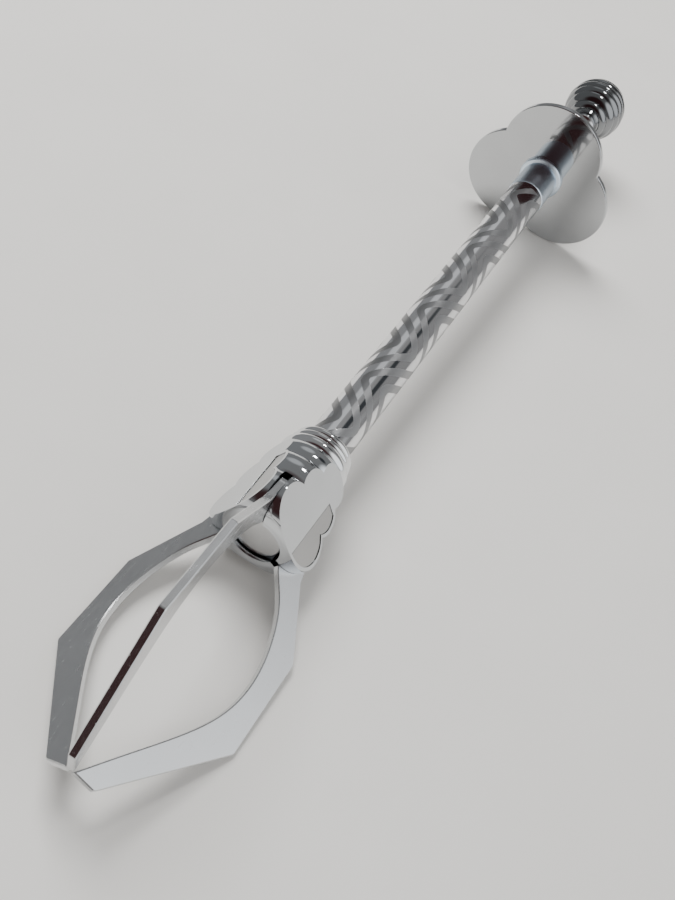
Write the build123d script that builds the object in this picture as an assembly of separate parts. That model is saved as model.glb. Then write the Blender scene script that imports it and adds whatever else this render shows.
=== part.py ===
from build123d import *
import math
import os

# Three-claw plunger tongs, in millimetres.
# The handle axis is the Y axis: the claw tips point along -Y and the thumb knob along +Y.
# The origin is on that axis, midway along the exposed handle tube. +Z is up.

# ---------------------------------------------------------------- driving dimensions

# Stations along Y, counted from the closed claw tips.
ORIGIN_STATION = 168.5
HEAD_FRONT = 69.0
HEAD_REAR = 95.4
SPIGOT_REAR = 99.0
SPIGOT_RADIUS = 7.4
COLLAR_REAR = 103.0
TUBE_FRONT = 92.0
TUBE_REAR = 250.5
FERRULE_FRONT = 236.0
KNOB_FRONT = 291.0

# Claws: flat plates that lie in planes through the handle axis.
CLAW_ANGLES = {"top": 90, "left": 210, "right": 330}
CLAW_THICKNESS = 2.0
CLAW_CORNER_RADIUS = 1.0
CLAW_EDGE_CHAMFER = 0.25
TIP_RADIUS = 0.65
PIVOT_STATION = 77.2
PIVOT_RADIUS = 11.6
LEVER_LENGTH = 8.0
HEEL_RADIUS = 1.3
BOSS_RADIUS = 2.7
OPEN_ANGLE = 36.0
PIN_RADIUS = 1.0
PIN_CLEARANCE = 0.05

# Head: a turned body of beads, cut by three flats.
FLAT_DISTANCE = 9.6
SLOT_WIDTH = 2.3
SLOT_REAR = 81.5
HEAD_BORE = 5.6
COUNTERBORE_RADIUS = 7.3
COUNTERBORE_DEPTH = 2.6
HEAD_FRONT_RADIUS = 8.0
CAP_RADIUS = 6.6
CAP_THICKNESS = 1.4
CAP_CORNER = 0.35
COVER_LIMIT = -3.0
COVER_REAR = 88.0
COVER_POCKET_DEPTH = 0.8
COVER_SINK = 0.2
COVER_GROOVE = 0.35
COVER_BORDER = 0.7
COVER_GAP = 0.06

# Handle tube and what runs in it.
TUBE_RADIUS = 6.0
TUBE_BORE = 4.6
ROD_RADIUS = 2.5
RUNNING_CLEARANCE = 0.05
GUIDE_BORE = ROD_RADIUS + RUNNING_CLEARANCE
FERRULE_RADIUS = 6.15

# Finger flange: three round lobes about the axis.
FLANGE_THICKNESS = 2.0
LOBE_RADIUS = 17.0
LOBE_OFFSET = 9.5
FLANGE_BORE = 5.2
FLANGE_EDGE_FILLET = 0.4
NUT_CIRCUMRADIUS = 8.5
NUT_THICKNESS = 4.0

# Spring, and the rear guide that ends its room.
SPRING_MEAN_RADIUS = 3.55
SPRING_WIRE_RADIUS = 0.4
SPRING_PITCH = 3.0
SPRING_FRONT = 201.4
SPRING_REAR = 231.4
SEAT_FRONT = 199.0
BUSHING_FRONT = 238.0

# Plunger: the stroke follows from the lever and the opening angle.
HALF_OPEN = math.radians(OPEN_ANGLE / 2)
STROKE = 2 * LEVER_LENGTH * math.sin(HALF_OPEN)
HEEL_STATION = PIVOT_STATION + LEVER_LENGTH * math.sin(HALF_OPEN)
HEEL_AXIS_RADIUS = PIVOT_RADIUS - LEVER_LENGTH * math.cos(HALF_OPEN)
GROOVE_CLEARANCE = 0.06
SPOOL_FLANGE_RADIUS = 4.9
SPOOL_CORE_RADIUS = 2.1
SPOOL_FRONT_THICKNESS = 1.2
SPOOL_REAR_THICKNESS = 1.8


# ---------------------------------------------------------------- helpers

def row(station):
    """Y of a station counted from the claw tips."""
    return station - ORIGIN_STATION


def turned(points):
    """Revolve a closed (station, radius) outline about the handle axis."""
    corners = [(radius, row(station)) for station, radius in points]
    return revolve(make_face(Polyline(*corners, close=True)), Axis.Y, 360)


def cylinder(front, rear, radius):
    """Solid cylinder about the handle axis between two stations."""
    base = Plane(origin=(0, row(front), 0), z_dir=(0, 1, 0))
    return extrude(base * Circle(radius), rear - front)


def ring(front, rear, outer, inner):
    """Plain ring about the handle axis between two stations."""
    return cylinder(front, rear, outer) - cylinder(front, rear, inner)


def beaded_outline(start, beads):
    """Arc edges of a row of beads: each is (crest station, crest radius, end station, end radius)."""
    edges = []
    here = start
    for crest_station, crest_radius, end_station, end_radius in beads:
        crest = (crest_radius, row(crest_station))
        end = (end_radius, row(end_station))
        edges.append(ThreePointArc(here, crest, end))
        here = end
    return edges, here


def beaded_body(front, front_radius, beads):
    """Solid of revolution whose side is a row of convex beads."""
    start = (front_radius, row(front))
    edges, end = beaded_outline(start, beads)
    closing = Polyline(end, (0, end[1]), (0, start[1]), start)
    return revolve(make_face(edges + [closing]), Axis.Y, 360)


def about_axis(shape, angle):
    """Turn a shape made for the +X direction to an angle about the handle axis (towards +Z)."""
    return shape.rotate(Axis.Y, -angle)


def slab(x_low, x_high, front, rear, z_low, z_high):
    """Box between two X values, two stations and two Z values."""
    size = (x_high - x_low, rear - front, z_high - z_low)
    middle = ((x_low + x_high) / 2, row((front + rear) / 2), (z_low + z_high) / 2)
    return Location(middle) * Box(*size)


# ---------------------------------------------------------------- head

HEAD_BEADS = [
    (77.3, 15.6, 81.5, 12.9),
    (85.9, 13.5, 89.4, 11.1),
    (92.6, 11.3, HEAD_REAR, 9.4),
]


def head_envelope(inset=0.0):
    """Turned outside of the head; an inset moves the whole outline inwards."""
    beads = [(crest, top - inset, end, low - inset) for crest, top, end, low in HEAD_BEADS]
    return beaded_body(HEAD_FRONT + inset, HEAD_FRONT_RADIUS - inset, beads)


def flat_region(near, far, z_low, z_high):
    """Box outside a head flat that faces +X, from near to far."""
    return slab(near, far, HEAD_FRONT - 1, HEAD_REAR + 1, z_low, z_high)


def cover_blank(inset, floor, top, limit):
    """Plate under the part of a flat that faces +X and lies below the limit."""
    reach = 20
    region = flat_region(floor, top, -reach, limit)
    body = head_envelope(COVER_BORDER + inset) & region
    rear_cut = slab(0, reach, COVER_REAR - inset, HEAD_REAR + 1, -reach, reach)
    return body - rear_cut


def pivot_axis_pin(low, high, radius):
    """Pin square to the claw that lies along +X, between two distances from its middle plane."""
    base = Plane(origin=(PIVOT_RADIUS, row(PIVOT_STATION), low), z_dir=(0, 0, 1))
    return extrude(base * Circle(radius), high - low)


PIN_LOW = -3.0
PIN_HIGH = 2.4
PIN_HOLE_END = 8.0


def make_claw_head():
    body = head_envelope()
    body += cylinder(HEAD_REAR, SPIGOT_REAR, SPIGOT_RADIUS)
    floor = FLAT_DISTANCE - COVER_POCKET_DEPTH
    for angle in CLAW_ANGLES.values():
        flat_angle = angle + 60
        body -= about_axis(flat_region(FLAT_DISTANCE, 30, -30, 30), flat_angle)
        body -= about_axis(cover_blank(0, floor, FLAT_DISTANCE + 1, COVER_LIMIT), flat_angle)
        slot = slab(0, 30, HEAD_FRONT - 1, SLOT_REAR, -SLOT_WIDTH / 2, SLOT_WIDTH / 2)
        body -= about_axis(slot, angle)
        body -= about_axis(pivot_axis_pin(PIN_LOW - 0.2, PIN_HOLE_END, PIN_RADIUS), angle)
    body -= cylinder(HEAD_FRONT - 1, HEAD_FRONT + COUNTERBORE_DEPTH, COUNTERBORE_RADIUS)
    body -= cylinder(HEAD_FRONT, TUBE_FRONT, HEAD_BORE)
    body -= cylinder(TUBE_FRONT, SPIGOT_REAR + 1, TUBE_RADIUS)
    return body


def make_pin_covers():
    """Inlaid plates that hide the open ends of the pivot pin holes."""
    floor = FLAT_DISTANCE - COVER_POCKET_DEPTH
    limit = COVER_LIMIT - COVER_GROOVE
    plate = cover_blank(COVER_GAP, floor, FLAT_DISTANCE - COVER_SINK, limit)
    return [about_axis(plate, angle + 60) for angle in CLAW_ANGLES.values()]


def make_pivot_pins():
    pin = pivot_axis_pin(PIN_LOW, PIN_HIGH, PIN_RADIUS)
    return [about_axis(pin, angle) for angle in CLAW_ANGLES.values()]


def make_head_cap():
    """Disc that closes the spool bore; a narrow gap runs round it in the counterbore."""
    seat = HEAD_FRONT + COUNTERBORE_DEPTH
    face = seat - CAP_THICKNESS
    inner = (CAP_RADIUS - CAP_CORNER, row(face))
    outer = (CAP_RADIUS, row(face + CAP_CORNER))
    dip = CAP_CORNER * (1 - math.sqrt(0.5))
    rounded_edge = ThreePointArc(inner, (CAP_RADIUS - dip, row(face + dip)), outer)
    rest = Polyline(outer, (CAP_RADIUS, row(seat)), (0, row(seat)), (0, row(face)), inner)
    return revolve(make_face([rounded_edge, rest]), Axis.Y, 360)


def make_front_collar():
    """Ringed collar: two beads and a rounded lip."""
    beads = [
        (97.2, 9.7, 98.9, 8.5),
        (99.9, 8.9, 100.9, 8.0),
        (101.9, 8.4, COLLAR_REAR, 7.5),
    ]
    body = beaded_body(HEAD_REAR, 9.0, beads)
    body -= cylinder(HEAD_REAR - 1, SPIGOT_REAR, SPIGOT_RADIUS)
    body -= cylinder(SPIGOT_REAR - 1, COLLAR_REAR + 1, TUBE_RADIUS)
    return body


# ---------------------------------------------------------------- claws

def claw_point(station, radius):
    """Sketch point of a claw drawn for the +X direction."""
    return (radius, row(station))


def claw_lever():
    """Tapered lever from the pivot down to the heel that sits in the spool groove."""
    lean = math.sin(HALF_OPEN)
    rise = math.cos(HALF_OPEN)
    half_widths = [(0.0, 0.9), (1.4, 0.9), (4.5, 1.9), (LEVER_LENGTH, BOSS_RADIUS - 0.3)]
    rear = []
    front = []
    for along, half in half_widths:
        station = HEEL_STATION - along * lean
        radius = HEEL_AXIS_RADIUS + along * rise
        rear.append(claw_point(station + half * rise, radius + half * lean))
        front.append(claw_point(station - half * rise, radius - half * lean))
    return make_face(Polyline(*rear, *reversed(front), close=True))


def claw_blade():
    """Outline outside the head: straight outer sides, one smooth inner curve."""
    outer = FilletPolyline(
        claw_point(0.0, TIP_RADIUS),
        claw_point(0.0, 6.5),
        claw_point(27.1, 27.0),
        claw_point(53.4, 26.6),
        claw_point(70.2, 16.0),
        radius=CLAW_CORNER_RADIUS,
    )
    shoulder = Polyline(
        claw_point(70.2, 16.0),
        claw_point(71.6, 15.6),
        claw_point(PIVOT_STATION, PIVOT_RADIUS + BOSS_RADIUS),
        claw_point(PIVOT_STATION, PIVOT_RADIUS - BOSS_RADIUS),
        claw_point(68.6, 8.6),
    )
    inner = Spline(
        claw_point(68.6, 8.6),
        claw_point(62.4, 14.0),
        claw_point(54.5, 18.2),
        claw_point(43.0, 20.7),
        claw_point(31.0, 18.9),
        claw_point(20.0, 13.3),
        claw_point(0.0, TIP_RADIUS),
        tangents=[(0.75, -1), (-0.62, -1)],
    )
    return make_face([outer, shoulder, inner])


def make_claw(angle):
    """Flat claw for the +X direction, turned to its own angle."""
    boss = Pos(*claw_point(PIVOT_STATION, PIVOT_RADIUS)) * Circle(BOSS_RADIUS)
    heel = Pos(*claw_point(HEEL_STATION, HEEL_AXIS_RADIUS)) * Circle(HEEL_RADIUS)
    profile = Sketch() + claw_blade() + claw_lever() + boss + heel
    plate = extrude(profile, CLAW_THICKNESS / 2, both=True)
    broad_faces = plate.faces().filter_by(Axis.Z)
    plate = chamfer(broad_faces.edges(), CLAW_EDGE_CHAMFER)
    plate -= pivot_axis_pin(-5, 5, PIN_RADIUS + PIN_CLEARANCE)
    return about_axis(plate, angle)


# ---------------------------------------------------------------- handle

def make_finger_flange():
    base = Plane(origin=(0, row(TUBE_REAR), 0), x_dir=(1, 0, 0), z_dir=(0, 1, 0))
    lobes = Sketch()
    for angle in CLAW_ANGLES.values():
        turn = math.radians(angle)
        centre = (LOBE_OFFSET * math.cos(turn), -LOBE_OFFSET * math.sin(turn))
        lobes += Pos(*centre) * Circle(LOBE_RADIUS)
    plate = extrude(base * lobes, FLANGE_THICKNESS)
    flange_rear = TUBE_REAR + FLANGE_THICKNESS
    plate = fillet(plate.edges().filter_by(GeomType.CIRCLE), FLANGE_EDGE_FILLET)
    return plate - cylinder(TUBE_REAR - 1, flange_rear + 1, FLANGE_BORE)


def make_rear_ferrule():
    outline = [
        (FERRULE_FRONT, TUBE_RADIUS),
        (FERRULE_FRONT + 0.3, FERRULE_RADIUS),
        (248.6, FERRULE_RADIUS),
        (248.8, 6.05),
        (249.1, 7.0),
        (249.5, 7.3),
        (TUBE_REAR, 7.3),
        (TUBE_REAR, TUBE_RADIUS),
    ]
    return turned(outline)


def make_rear_bushing():
    """Guide barrel: pressed in the tube, through the flange, and out behind it."""
    outline = [
        (BUSHING_FRONT, GUIDE_BORE),
        (BUSHING_FRONT, TUBE_BORE),
        (TUBE_REAR, TUBE_BORE),
        (TUBE_REAR, FLANGE_BORE),
        (257.5, FLANGE_BORE),
        (258.5, 4.6),
        (270.0, 4.2),
        (271.5, 4.7),
        (273.5, 4.7),
        (274.5, 3.9),
        (274.5, GUIDE_BORE),
    ]
    return turned(outline)


def make_flange_nut():
    front = TUBE_REAR + FLANGE_THICKNESS
    base = Plane(origin=(0, row(front), 0), z_dir=(0, 1, 0))
    rear = front + NUT_THICKNESS
    hexagon = extrude(base * RegularPolygon(NUT_CIRCUMRADIUS, 6), NUT_THICKNESS)
    crowned = turned([(front, 0), (front, 8.3), (rear - 0.8, 8.3), (rear, 7.2), (rear, 0)])
    return (hexagon & crowned) - cylinder(front - 1, rear + 1, FLANGE_BORE)


def make_return_spring():
    height = SPRING_REAR - SPRING_FRONT
    path = Helix(pitch=SPRING_PITCH, height=height, radius=SPRING_MEAN_RADIUS)
    start = Plane(origin=path @ 0, z_dir=path % 0)
    coil = sweep(start * Circle(SPRING_WIRE_RADIUS), path, is_frenet=True)
    upright = coil.rotate(Axis.X, -90)
    return upright.translate((0, row(SPRING_FRONT), 0))


# ---------------------------------------------------------------- plunger

GROOVE_FRONT = HEEL_STATION - HEEL_RADIUS - GROOVE_CLEARANCE
GROOVE_REAR = HEEL_STATION + HEEL_RADIUS + GROOVE_CLEARANCE
SPOOL_FRONT = GROOVE_FRONT - SPOOL_FRONT_THICKNESS
SPOOL_REAR = GROOVE_REAR + SPOOL_REAR_THICKNESS
SCREW_RADIUS = 1.0
SCREW_HEAD_RADIUS = 1.8
SCREW_HEAD_HEIGHT = 1.0
SCREW_DEPTH = 12.0


def make_claw_spool():
    outline = [
        (SPOOL_FRONT, SCREW_HEAD_RADIUS),
        (SPOOL_FRONT, SPOOL_FLANGE_RADIUS),
        (GROOVE_FRONT, SPOOL_FLANGE_RADIUS),
        (GROOVE_FRONT, SPOOL_CORE_RADIUS),
        (GROOVE_REAR, SPOOL_CORE_RADIUS),
        (GROOVE_REAR, SPOOL_FLANGE_RADIUS),
        (SPOOL_REAR, SPOOL_FLANGE_RADIUS),
        (SPOOL_REAR, SCREW_RADIUS),
        (SPOOL_FRONT + SCREW_HEAD_HEIGHT, SCREW_RADIUS),
        (SPOOL_FRONT + SCREW_HEAD_HEIGHT, SCREW_HEAD_RADIUS),
    ]
    return turned(outline)


def make_spool_screw():
    outline = [
        (SPOOL_FRONT, 0),
        (SPOOL_FRONT, SCREW_HEAD_RADIUS),
        (SPOOL_FRONT + SCREW_HEAD_HEIGHT, SCREW_HEAD_RADIUS),
        (SPOOL_FRONT + SCREW_HEAD_HEIGHT, SCREW_RADIUS),
        (SPOOL_FRONT + SCREW_DEPTH, SCREW_RADIUS),
        (SPOOL_FRONT + SCREW_DEPTH, 0),
    ]
    driver = slab(-1.5, 1.5, SPOOL_FRONT - 1, SPOOL_FRONT + 0.5, -0.25, 0.25)
    return turned(outline) - driver


SPRING_COLLAR_FRONT = SPRING_REAR + SPRING_WIRE_RADIUS + 0.1
SPRING_COLLAR_REAR = SPRING_COLLAR_FRONT + 4.4
SPRING_COLLAR_RADIUS = 4.3
CROSS_PIN_RADIUS = 0.75
CROSS_PIN_STATION = (SPRING_COLLAR_FRONT + SPRING_COLLAR_REAR) / 2
ROD_REAR = KNOB_FRONT + 12.0


def cross_pin(half_length):
    base = Plane(origin=(0, row(CROSS_PIN_STATION), -half_length), z_dir=(0, 0, 1))
    return extrude(base * Circle(CROSS_PIN_RADIUS), 2 * half_length)


def make_push_rod():
    rod = cylinder(SPOOL_REAR, ROD_REAR, ROD_RADIUS)
    rod -= cylinder(SPOOL_REAR - 1, SPOOL_FRONT + SCREW_DEPTH, SCREW_RADIUS)
    return rod - cross_pin(SPRING_COLLAR_RADIUS + 1)


def make_spring_collar():
    body = ring(SPRING_COLLAR_FRONT, SPRING_COLLAR_REAR, SPRING_COLLAR_RADIUS, ROD_RADIUS)
    return body - cross_pin(SPRING_COLLAR_RADIUS + 1)


def make_thumb_knob():
    """Ball of turned rings on a stepped neck."""
    edges_at = [
        (292.2, 5.6),
        (294.6, 7.2),
        (297.4, 9.2),
        (300.6, 10.0),
        (303.8, 10.0),
        (307.0, 9.3),
        (310.0, 7.6),
        (312.4, 5.0),
    ]
    beads = []
    for (front, front_radius), (rear, rear_radius) in zip(edges_at, edges_at[1:]):
        crest_radius = (front_radius + rear_radius) / 2 + 0.55
        beads.append(((front + rear) / 2, crest_radius, rear, rear_radius))
    body = beaded_body(edges_at[0][0], edges_at[0][1], beads)
    neck = turned([(KNOB_FRONT, 0), (KNOB_FRONT, 4.9), (292.2, 5.3), (292.2, 0)])
    crown = turned([(312.4, 0), (312.4, 4.4), (313.4, 4.0), (314.0, 3.0), (314.0, 0)])
    return body + neck + crown - cylinder(KNOB_FRONT - 1, ROD_REAR, ROD_RADIUS)


def make_knob_lock_nut():
    front = KNOB_FRONT - 3.0
    outline = [
        (front, ROD_RADIUS),
        (front, 3.9),
        (front + 0.6, 4.5),
        (KNOB_FRONT - 0.6, 4.5),
        (KNOB_FRONT, 3.9),
        (KNOB_FRONT, ROD_RADIUS),
    ]
    return turned(outline)


# ---------------------------------------------------------------- write the parts

def write(node, solids):
    """Write one node; a list becomes a group of separate solids."""
    shape = Compound(children=solids) if isinstance(solids, list) else solids
    export_step(shape, f"parts/{node}.step")


def main():
    os.makedirs("parts", exist_ok=True)
    write("claw_head", make_claw_head())
    write("head_cap", make_head_cap())
    write("pin_cover_plates", make_pin_covers())
    write("pivot_pins", make_pivot_pins())
    write("front_collar", make_front_collar())
    write("front_bushing", ring(TUBE_FRONT - 5.0, TUBE_FRONT, HEAD_BORE, GUIDE_BORE))
    write("handle_tube", ring(TUBE_FRONT, TUBE_REAR, TUBE_RADIUS, TUBE_BORE))
    write("rear_ferrule", make_rear_ferrule())
    write("finger_flange", make_finger_flange())
    write("rear_bushing", make_rear_bushing())
    write("flange_nut", make_flange_nut())
    write("spring_seat", ring(SEAT_FRONT, SEAT_FRONT + 1.9, TUBE_BORE, GUIDE_BORE))
    write("stop_washer", ring(BUSHING_FRONT - 1.4, BUSHING_FRONT, TUBE_BORE - 0.2, GUIDE_BORE))
    write("return_spring", make_return_spring())
    write("push_rod", make_push_rod())
    write("claw_spool", make_claw_spool())
    write("spool_screw", make_spool_screw())
    write("spring_collar", make_spring_collar())
    write("collar_cross_pin", cross_pin(SPRING_COLLAR_RADIUS - 0.1))
    write("thumb_knob", make_thumb_knob())
    write("knob_lock_nut", make_knob_lock_nut())
    for side, angle in CLAW_ANGLES.items():
        write(f"claw_arm_{side}", make_claw(angle))
    print("stroke", round(STROKE, 3), "heel", round(HEEL_STATION, 3), round(HEEL_AXIS_RADIUS, 3))
    print("claw ratio rad per m", round(math.radians(OPEN_ANGLE) / STROKE * 1000, 3))


main()
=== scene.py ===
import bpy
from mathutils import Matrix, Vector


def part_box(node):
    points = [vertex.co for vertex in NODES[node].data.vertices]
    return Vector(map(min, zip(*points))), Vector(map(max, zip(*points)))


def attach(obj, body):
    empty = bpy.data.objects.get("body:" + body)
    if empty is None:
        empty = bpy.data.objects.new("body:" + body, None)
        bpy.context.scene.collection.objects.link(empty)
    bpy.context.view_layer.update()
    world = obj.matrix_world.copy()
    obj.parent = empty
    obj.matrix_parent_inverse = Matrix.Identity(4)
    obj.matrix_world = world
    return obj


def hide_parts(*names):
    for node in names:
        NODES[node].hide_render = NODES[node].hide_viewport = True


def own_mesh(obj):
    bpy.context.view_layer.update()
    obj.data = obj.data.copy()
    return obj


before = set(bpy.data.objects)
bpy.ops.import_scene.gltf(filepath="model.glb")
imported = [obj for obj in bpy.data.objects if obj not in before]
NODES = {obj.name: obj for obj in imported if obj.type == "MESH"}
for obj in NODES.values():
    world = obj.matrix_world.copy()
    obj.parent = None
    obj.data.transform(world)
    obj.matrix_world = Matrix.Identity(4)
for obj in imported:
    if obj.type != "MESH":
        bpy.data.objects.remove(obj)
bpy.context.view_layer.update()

import math

import bpy
from mathutils import Matrix, Vector

# ---------------------------------------------------------------- sizes and places, in metres

MM = 0.001

# Camera: where it stands, the point it looks at, its roll in degrees, and its lens and sensor in mm.
CAMERA_PLACE = Vector((48.77, -245.1, 225.8)) * MM
CAMERA_TARGET = Vector((3.27, -65.4, 2.8)) * MM
CAMERA_ROLL = 19.8
CAMERA_LENS = 46.0
CAMERA_SENSOR = 36.0

# Table: it runs from the lower flange lobes to the lower claws, so it leans a little. It meets the
# claws this far behind their tips.
CLAW_CONTACT = 40 * MM
CLAW_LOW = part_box("claw_arm_left")[0]
FLANGE_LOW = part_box("finger_flange")[0]
TABLE_NEAR_Y = CLAW_LOW.y + CLAW_CONTACT
TABLE_SLOPE = (FLANGE_LOW.z - CLAW_LOW.z) / (FLANGE_LOW.y - TABLE_NEAR_Y)
TABLE_SIZE = 3.0
TABLE_CELLS = 8

# Etched zigzag stripes on the handle tube. Turns are counted from +X towards +Z.
STRIPE_COUNT = 6
STRIPE_PERIOD = 33.5 * MM
STRIPE_CREST_Y = -24.75 * MM
STRIPE_TURN = math.radians(49.5)
STRIPE_SWING = math.radians(62)
STRIPE_SHARPNESS = 0.95
STRIPE_WIDTH = 2.3 * MM
STRIPE_EDGE = 0.05 * MM
# Plain stretches at the tube's two ends, and how far the pattern takes to fade in and out.
PLAIN_FRONT = 0.3 * MM
FADE_FRONT = 0.2 * MM
PLAIN_REAR = 1.6 * MM
FADE_REAR = 0.3 * MM

# Metal finishes. Noise scales are cells per metre; shades and roughness are shares of 1.
HAIRLINES = (260, 2600, 700)
HAIRLINE_ROUGHNESS = 0.10
FINE_SHADE = 0.10
BROAD_SHADE = 0.08
PIT_SHADE = 0.05
PIT_DEPTH = 0.6
FINE_ROUGHNESS = 0.16
TUBE_TONE = 0.80
FROST_TONE = 0.27
TUBE_ROUGHNESS = 0.09
FROST_ROUGHNESS = 0.46
TUBE_TINT = (0.995, 1.0, 1.015)

# The colour sockets of a Mix node, which share their names with the other kinds.
MIX_A, MIX_B, MIX_RESULT = 6, 7, 2


# ---------------------------------------------------------------- node helpers

class Graph:
    """Short calls for building a node tree."""

    def __init__(self, tree):
        self.tree = tree
        tree.nodes.clear()

    def add(self, kind, **values):
        node = self.tree.nodes.new(kind)
        for name, value in values.items():
            setattr(node, name, value)
        return node

    def link(self, source, target):
        self.tree.links.new(source, target)

    def feed(self, socket, value):
        if isinstance(value, bpy.types.NodeSocket):
            self.link(value, socket)
        else:
            socket.default_value = value

    def math(self, operation, a, b=0.0, c=0.0):
        node = self.add("ShaderNodeMath", operation=operation)
        for socket, value in zip(node.inputs, (a, b, c)):
            self.feed(socket, value)
        return node.outputs[0]

    def band(self, value, low, high):
        """0 below low, 1 above high, smooth between."""
        node = self.add("ShaderNodeMapRange", interpolation_type="SMOOTHSTEP")
        self.feed(node.inputs["Value"], value)
        node.inputs["From Min"].default_value = low
        node.inputs["From Max"].default_value = high
        return node.outputs["Result"]

    def mix(self, factor, a, b):
        """Blend two numbers."""
        node = self.add("ShaderNodeMix", data_type="FLOAT")
        self.feed(node.inputs["Factor"], factor)
        self.feed(node.inputs["A"], a)
        self.feed(node.inputs["B"], b)
        return node.outputs["Result"]

    def mix_color(self, factor, a, b):
        node = self.add("ShaderNodeMix", data_type="RGBA")
        self.feed(node.inputs["Factor"], factor)
        self.feed(node.inputs[MIX_A], a)
        self.feed(node.inputs[MIX_B], b)
        return node.outputs[MIX_RESULT]

    def tint(self, shade, gains):
        """Colour from one shade and a gain for red, green and blue."""
        node = self.add("ShaderNodeCombineColor")
        for socket, gain in zip(node.inputs, gains):
            self.link(self.math("MULTIPLY", shade, gain), socket)
        return node.outputs["Color"]

    def place(self, scale=(1, 1, 1)):
        """Object coordinates, stretched."""
        here = self.add("ShaderNodeTexCoord").outputs["Object"]
        mapping = self.add("ShaderNodeMapping", vector_type="POINT")
        mapping.inputs["Scale"].default_value = scale
        self.link(here, mapping.inputs["Vector"])
        return mapping.outputs["Vector"]

    def noise(self, vector, scale, detail=3.0, roughness=0.5):
        node = self.add("ShaderNodeTexNoise")
        self.link(vector, node.inputs["Vector"])
        node.inputs["Scale"].default_value = scale
        node.inputs["Detail"].default_value = detail
        node.inputs["Roughness"].default_value = roughness
        return node.outputs["Fac"]

    def bump(self, height, strength, distance):
        node = self.add("ShaderNodeBump")
        node.inputs["Strength"].default_value = strength
        node.inputs["Distance"].default_value = distance
        self.link(height, node.inputs["Height"])
        return node.outputs["Normal"]


def grey(value, warmth=0.0):
    """Colour tuple a little warmer or cooler than grey."""
    return (value * (1 + warmth), value, value * (1 - warmth), 1.0)


def new_material(name):
    material = bpy.data.materials.new(name)
    material.use_nodes = True
    graph = Graph(material.node_tree)
    shader = graph.add("ShaderNodeBsdfPrincipled")
    output = graph.add("ShaderNodeOutputMaterial")
    graph.link(shader.outputs["BSDF"], output.inputs["Surface"])
    return material, graph, shader


# ---------------------------------------------------------------- materials

def polished_metal(name, tone, roughness, warmth=0.0, marks=0.04):
    """Polished steel with faint wiping marks and hairline scratches."""
    material, graph, shader = new_material(name)
    shader.inputs["Metallic"].default_value = 1.0
    smear = graph.noise(graph.place(), 90, 4, 0.6)
    hairs = graph.noise(graph.place(HAIRLINES), 1.0, 2, 0.7)
    scratch = graph.band(hairs, 0.62, 0.80)
    color = graph.mix_color(graph.band(smear, 0.3, 0.7), grey(tone * 0.96, warmth), grey(tone, warmth))
    graph.link(color, shader.inputs["Base Color"])
    rough = graph.mix(smear, roughness, roughness + marks)
    rough = graph.math("ADD", rough, graph.math("MULTIPLY", scratch, HAIRLINE_ROUGHNESS))
    graph.link(rough, shader.inputs["Roughness"])
    normal = graph.bump(scratch, 0.05, 0.02 * MM)
    graph.link(normal, shader.inputs["Normal"])
    return material


def brushed_metal(name, tone, roughness, stretch, strength=0.25, warmth=0.0):
    """Steel with fine brush lines; stretch is low along the lines."""
    material, graph, shader = new_material(name)
    shader.inputs["Metallic"].default_value = 1.0
    fine = graph.noise(graph.place(stretch), 1.0, 4, 0.65)
    broad = graph.noise(graph.place(), 60, 3, 0.5)
    pits = graph.noise(graph.place(), 2200, 2, 0.5)
    pitting = graph.band(pits, 0.70, 0.80)
    shade = graph.math("MULTIPLY_ADD", fine, FINE_SHADE, tone - FINE_SHADE / 2)
    shade = graph.math("SUBTRACT", shade, BROAD_SHADE / 2)
    shade = graph.math("MULTIPLY_ADD", broad, BROAD_SHADE, shade)
    shade = graph.math("SUBTRACT", shade, graph.math("MULTIPLY", pitting, PIT_SHADE))
    color = graph.tint(shade, (1 + warmth, 1.0, 1 - warmth))
    graph.link(color, shader.inputs["Base Color"])
    rough = graph.math("MULTIPLY_ADD", fine, FINE_ROUGHNESS, roughness - FINE_ROUGHNESS / 2)
    graph.link(rough, shader.inputs["Roughness"])
    height = graph.math("ADD", fine, graph.math("MULTIPLY", pitting, -PIT_DEPTH))
    graph.link(graph.bump(height, strength, 0.03 * MM), shader.inputs["Normal"])
    return material


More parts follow.
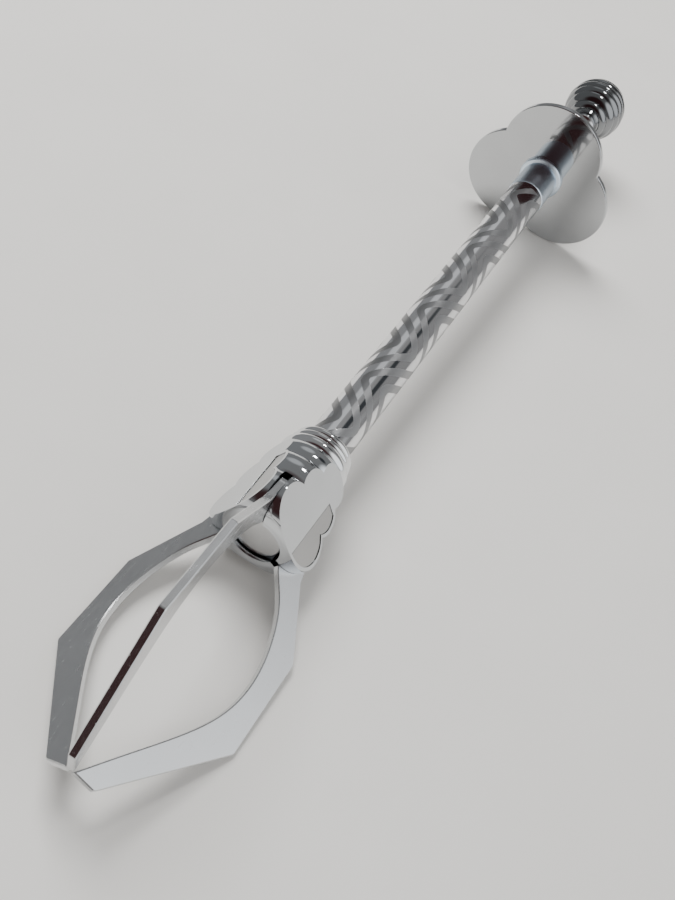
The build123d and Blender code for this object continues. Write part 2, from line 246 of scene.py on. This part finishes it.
def zigzag_mask(graph):
    """(1 on the etched stripes, place along the handle) for nested zigzag stripes round the tube."""
    here = graph.add("ShaderNodeTexCoord").outputs["Object"]
    split = graph.add("ShaderNodeSeparateXYZ")
    graph.link(here, split.inputs["Vector"])
    along = split.outputs["Y"]
    turn = graph.math("ARCTAN2", split.outputs["Z"], split.outputs["X"])
    from_crest = graph.math("SUBTRACT", along, STRIPE_CREST_Y)
    phase = graph.math("MULTIPLY", from_crest, 2 * math.pi / STRIPE_PERIOD)
    cosine = graph.math("MULTIPLY", graph.math("COSINE", phase), STRIPE_SHARPNESS)
    full_swing = math.asin(STRIPE_SHARPNESS)
    wave = graph.math("MULTIPLY", graph.math("ARCSINE", cosine), STRIPE_SWING / full_swing)
    # How steep the stripe runs here, to keep its width even along its own direction.
    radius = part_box("handle_tube")[1].x
    steepest = radius * STRIPE_SWING / full_swing * STRIPE_SHARPNESS * 2 * math.pi / STRIPE_PERIOD
    room = graph.math("SQRT", graph.math("SUBTRACT", 1.0, graph.math("MULTIPLY", cosine, cosine)))
    slope = graph.math("DIVIDE", graph.math("MULTIPLY", graph.math("SINE", phase), steepest), room)
    length = graph.math("SQRT", graph.math("MULTIPLY_ADD", slope, slope, 1.0))
    spacing = 2 * math.pi / STRIPE_COUNT
    cells = graph.math("DIVIDE", graph.math("SUBTRACT", graph.math("ADD", turn, wave), STRIPE_TURN), spacing)
    # Half a cell puts a stripe in the middle of each cell; the whole cells keep the number positive.
    cells = graph.math("ADD", cells, 0.5 + 2 * STRIPE_COUNT)
    offset = graph.math("ABSOLUTE", graph.math("SUBTRACT", graph.math("FRACT", cells), 0.5))
    distance = graph.math("DIVIDE", graph.math("MULTIPLY", offset, spacing * radius), length)
    half = STRIPE_WIDTH / 2
    return graph.band(distance, half + STRIPE_EDGE, half - STRIPE_EDGE), along


def etched_tube_metal():
    """Polished tube with frosted, etched stripes; the rear end stays polished."""
    material, graph, shader = new_material("etched_tube")
    shader.inputs["Metallic"].default_value = 1.0
    etched, along = zigzag_mask(graph)
    front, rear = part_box("front_collar")[1].y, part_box("rear_ferrule")[0].y
    started = graph.band(along, front + PLAIN_FRONT, front + PLAIN_FRONT + FADE_FRONT)
    ended = graph.band(along, rear - PLAIN_REAR, rear - PLAIN_REAR - FADE_REAR)
    pattern = graph.math("MULTIPLY", etched, graph.math("MULTIPLY", started, ended))
    grain = graph.noise(graph.place(), 5200, 3, 0.6)
    cloud = graph.noise(graph.place(), 120, 3, 0.5)
    frosted = graph.math("MULTIPLY_ADD", grain, 0.10, FROST_TONE)
    frosted = graph.math("MULTIPLY_ADD", cloud, 0.06, frosted)
    shade = graph.mix(pattern, TUBE_TONE, frosted)
    graph.link(graph.tint(shade, TUBE_TINT), shader.inputs["Base Color"])
    graph.link(graph.mix(pattern, TUBE_ROUGHNESS, FROST_ROUGHNESS), shader.inputs["Roughness"])
    depth = graph.math("MULTIPLY_ADD", grain, 0.15, graph.math("MULTIPLY", pattern, -1.0))
    graph.link(graph.bump(depth, 0.15, 0.03 * MM), shader.inputs["Normal"])
    return material


def machined_brass():
    material, graph, shader = new_material("machined_brass")
    shader.inputs["Metallic"].default_value = 1.0
    rings = graph.noise(graph.place((1, 2600, 1)), 1.0, 3, 0.6)
    color = graph.mix_color(rings, (0.60, 0.42, 0.17, 1), (0.80, 0.62, 0.30, 1))
    graph.link(color, shader.inputs["Base Color"])
    graph.link(graph.math("MULTIPLY_ADD", rings, 0.15, 0.22), shader.inputs["Roughness"])
    graph.link(graph.bump(rings, 0.2, 0.03 * MM), shader.inputs["Normal"])
    return material


def black_rubber():
    material, graph, shader = new_material("black_rubber")
    grain = graph.noise(graph.place(), 1800, 4, 0.6)
    graph.link(graph.mix_color(grain, grey(0.012), grey(0.035)), shader.inputs["Base Color"])
    graph.link(graph.math("MULTIPLY_ADD", grain, 0.2, 0.6), shader.inputs["Roughness"])
    graph.link(graph.bump(grain, 0.3, 0.05 * MM), shader.inputs["Normal"])
    return material


def table_surface():
    """Pale, faintly mottled laminate."""
    material, graph, shader = new_material("table_surface")
    mottle = graph.noise(graph.place(), 18, 5, 0.6)
    fine = graph.noise(graph.place(), 420, 3, 0.5)
    color = graph.mix_color(mottle, (0.655, 0.640, 0.610, 1), (0.720, 0.705, 0.675, 1))
    graph.link(color, shader.inputs["Base Color"])
    graph.link(graph.math("MULTIPLY_ADD", fine, 0.1, 0.45), shader.inputs["Roughness"])
    graph.link(graph.bump(fine, 0.08, 0.2 * MM), shader.inputs["Normal"])
    shader.inputs["Specular IOR Level"].default_value = 0.3
    return material


def paint(node, material):
    """Give a CAD node's object one material."""
    slots = NODES[node].data.materials
    slots.clear()
    slots.append(material)


def paint_everything():
    # These tones and tints are set so each part matches how it looks under this light. One steel is painted
    # lighter or darker part by part, as painted shade and painted reflection, not as different metals.
    head = polished_metal("head_polish", 0.62, 0.05, warmth=-0.03)
    mirror = polished_metal("mirror_plate", 0.56, 0.05, warmth=-0.02, marks=0.03)
    turned = polished_metal("turned_polish", 0.78, 0.045, warmth=-0.01)
    # The knob is the same polished steel, painted much darker: painted shade standing for the dark room it
    # reflects.
    knob_painted_shade = polished_metal("knob_steel_painted_dark", 0.26, 0.07, warmth=-0.03)
    # The ferrule's blue tint is painted reflection colour, set to offset the brown reflected on it.
    ferrule_painted_blue = polished_metal("ferrule_steel_painted_blue", 0.82, 0.26, warmth=-0.12)
    brass = machined_brass()
    wire = brushed_metal("spring_wire", 0.45, 0.3, (900, 900, 900), 0.1)
    brushed_cover = brushed_metal("brushed_cover", 0.40, 0.24, (1500, 160, 1500), 0.2)
    brushed_cap = brushed_metal("brushed_cap", 0.53, 0.22, (1200, 300, 200), 0.25)
    claw = brushed_metal("brushed_claw", 0.66, 0.25, (900, 220, 900), 0.06, warmth=-0.012)
    looks = {
        "claw_head": head,
        "front_collar": turned,
        "head_cap": brushed_cap,
        "pin_cover_plates": brushed_cover,
        "pivot_pins": turned,
        "front_bushing": brass,
        "spring_seat": brass,
        "stop_washer": black_rubber(),
        "return_spring": wire,
        "handle_tube": etched_tube_metal(),
        "rear_ferrule": ferrule_painted_blue,
        "finger_flange": mirror,
        "rear_bushing": turned,
        "flange_nut": turned,
        "push_rod": turned,
        "claw_spool": turned,
        "spool_screw": turned,
        "spring_collar": turned,
        "collar_cross_pin": turned,
        "thumb_knob": knob_painted_shade,
        "knob_lock_nut": turned,
        "claw_arm_top": claw,
        "claw_arm_left": claw,
        "claw_arm_right": claw,
    }
    for node, material in looks.items():
        paint(node, material)


def make_spring():
    """Copy of the CAD spring's coil, fixed to the handle, in place of the CAD spring, which is hidden."""
    spring = bpy.data.objects.new("coil_spring", NODES["return_spring"].data.copy())
    bpy.context.scene.collection.objects.link(spring)
    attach(spring, "handle")
    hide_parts("return_spring")
    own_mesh(spring)


# ---------------------------------------------------------------- stage, light and camera

# Patches of the room: direction, cosines where a patch starts and is full, and its colour.
ROOM_GREY = grey(0.25)
ROOM_PATCHES = [
    ((-1, 0.2, 0.15), 0.2, 1.0, grey(0.27, -0.02)),
    ((-0.05, -0.8, 0.66), 0.70, 0.92, (0.055, 0.026, 0.027, 1)),
    ((0.95, 0.05, 0.5), 0.77, 0.93, grey(1.6, -0.02)),
    ((-0.27, 0.70, 0.66), 0.955, 0.992, grey(0.62, -0.02)),
    ((0.31, 0.645, 0.70), 0.980, 0.996, grey(0.045, -0.10)),
]
BELOW_HORIZON = grey(0.55)


def make_table():
    bpy.ops.mesh.primitive_grid_add(x_subdivisions=TABLE_CELLS, y_subdivisions=TABLE_CELLS, size=TABLE_SIZE)
    table = bpy.context.object
    table.name = "table"
    height = CLAW_LOW.z - TABLE_SLOPE * TABLE_NEAR_Y
    table.location = (0, 0, height)
    table.rotation_euler = (math.atan(TABLE_SLOPE), 0, 0)
    table.data.materials.append(table_surface())


def facing(graph, direction, towards, start, full):
    """1 where the view direction is near a chosen one, 0 away from it; start and full are cosines."""
    dot = graph.add("ShaderNodeVectorMath", operation="DOT_PRODUCT")
    graph.link(direction, dot.inputs[0])
    dot.inputs[1].default_value = Vector(towards).normalized()
    return graph.band(dot.outputs["Value"], start, full)


def make_world():
    """Grey room with bright and dark patches, each seen in one direction."""
    world = bpy.data.worlds.new("room")
    world.use_nodes = True
    graph = Graph(world.node_tree)
    direction = graph.add("ShaderNodeTexCoord").outputs["Generated"]
    split = graph.add("ShaderNodeSeparateXYZ")
    graph.link(direction, split.inputs["Vector"])
    color = ROOM_GREY
    for towards, start, full, patch in ROOM_PATCHES:
        color = graph.mix_color(facing(graph, direction, towards, start, full), color, patch)
    below = graph.band(split.outputs["Z"], 0.02, -0.02)
    color = graph.mix_color(below, color, BELOW_HORIZON)
    background = graph.add("ShaderNodeBackground")
    graph.link(color, background.inputs["Color"])
    background.inputs["Strength"].default_value = 1.0
    output = graph.add("ShaderNodeOutputWorld")
    graph.link(background.outputs["Background"], output.inputs["Surface"])
    bpy.context.scene.world = world


# Lights below are given as name, place in metres, width in metres and power in watts.

def area_light(name, place, size, power, glossy=True, diffuse=True):
    """Round soft light that points at the origin."""
    data = bpy.data.lights.new(name, "AREA")
    data.shape = "DISK"
    data.size = size
    data.energy = power
    light = bpy.data.objects.new(name, data)
    bpy.context.scene.collection.objects.link(light)
    light.location = place
    light.rotation_euler = (-light.location).to_track_quat("-Z", "Y").to_euler()
    light.visible_glossy = glossy
    light.visible_diffuse = diffuse


def make_lights():
    area_light("key_panel", (-0.55, 0.45, 1.0), 0.8, 24.0, glossy=False)
    area_light("fill_panel", (0.5, -0.5, 1.1), 0.9, 4.5, glossy=False)
    area_light("lamp", (0.10, 0.50, 1.03), 0.15, 2.4, diffuse=False)


def make_camera():
    data = bpy.data.cameras.new("camera")
    data.sensor_width = CAMERA_SENSOR
    data.lens = CAMERA_LENS
    data.clip_start = 0.01
    camera = bpy.data.objects.new("camera", data)
    bpy.context.scene.collection.objects.link(camera)
    camera.location = CAMERA_PLACE
    look = (CAMERA_TARGET - CAMERA_PLACE).to_track_quat("-Z", "Y").to_matrix()
    roll = Matrix.Rotation(math.radians(CAMERA_ROLL), 3, "Z")
    camera.rotation_euler = (look @ roll).to_euler()
    bpy.context.scene.camera = camera


def main():
    make_camera()
    make_world()
    make_lights()
    make_table()
    paint_everything()
    make_spring()


main()
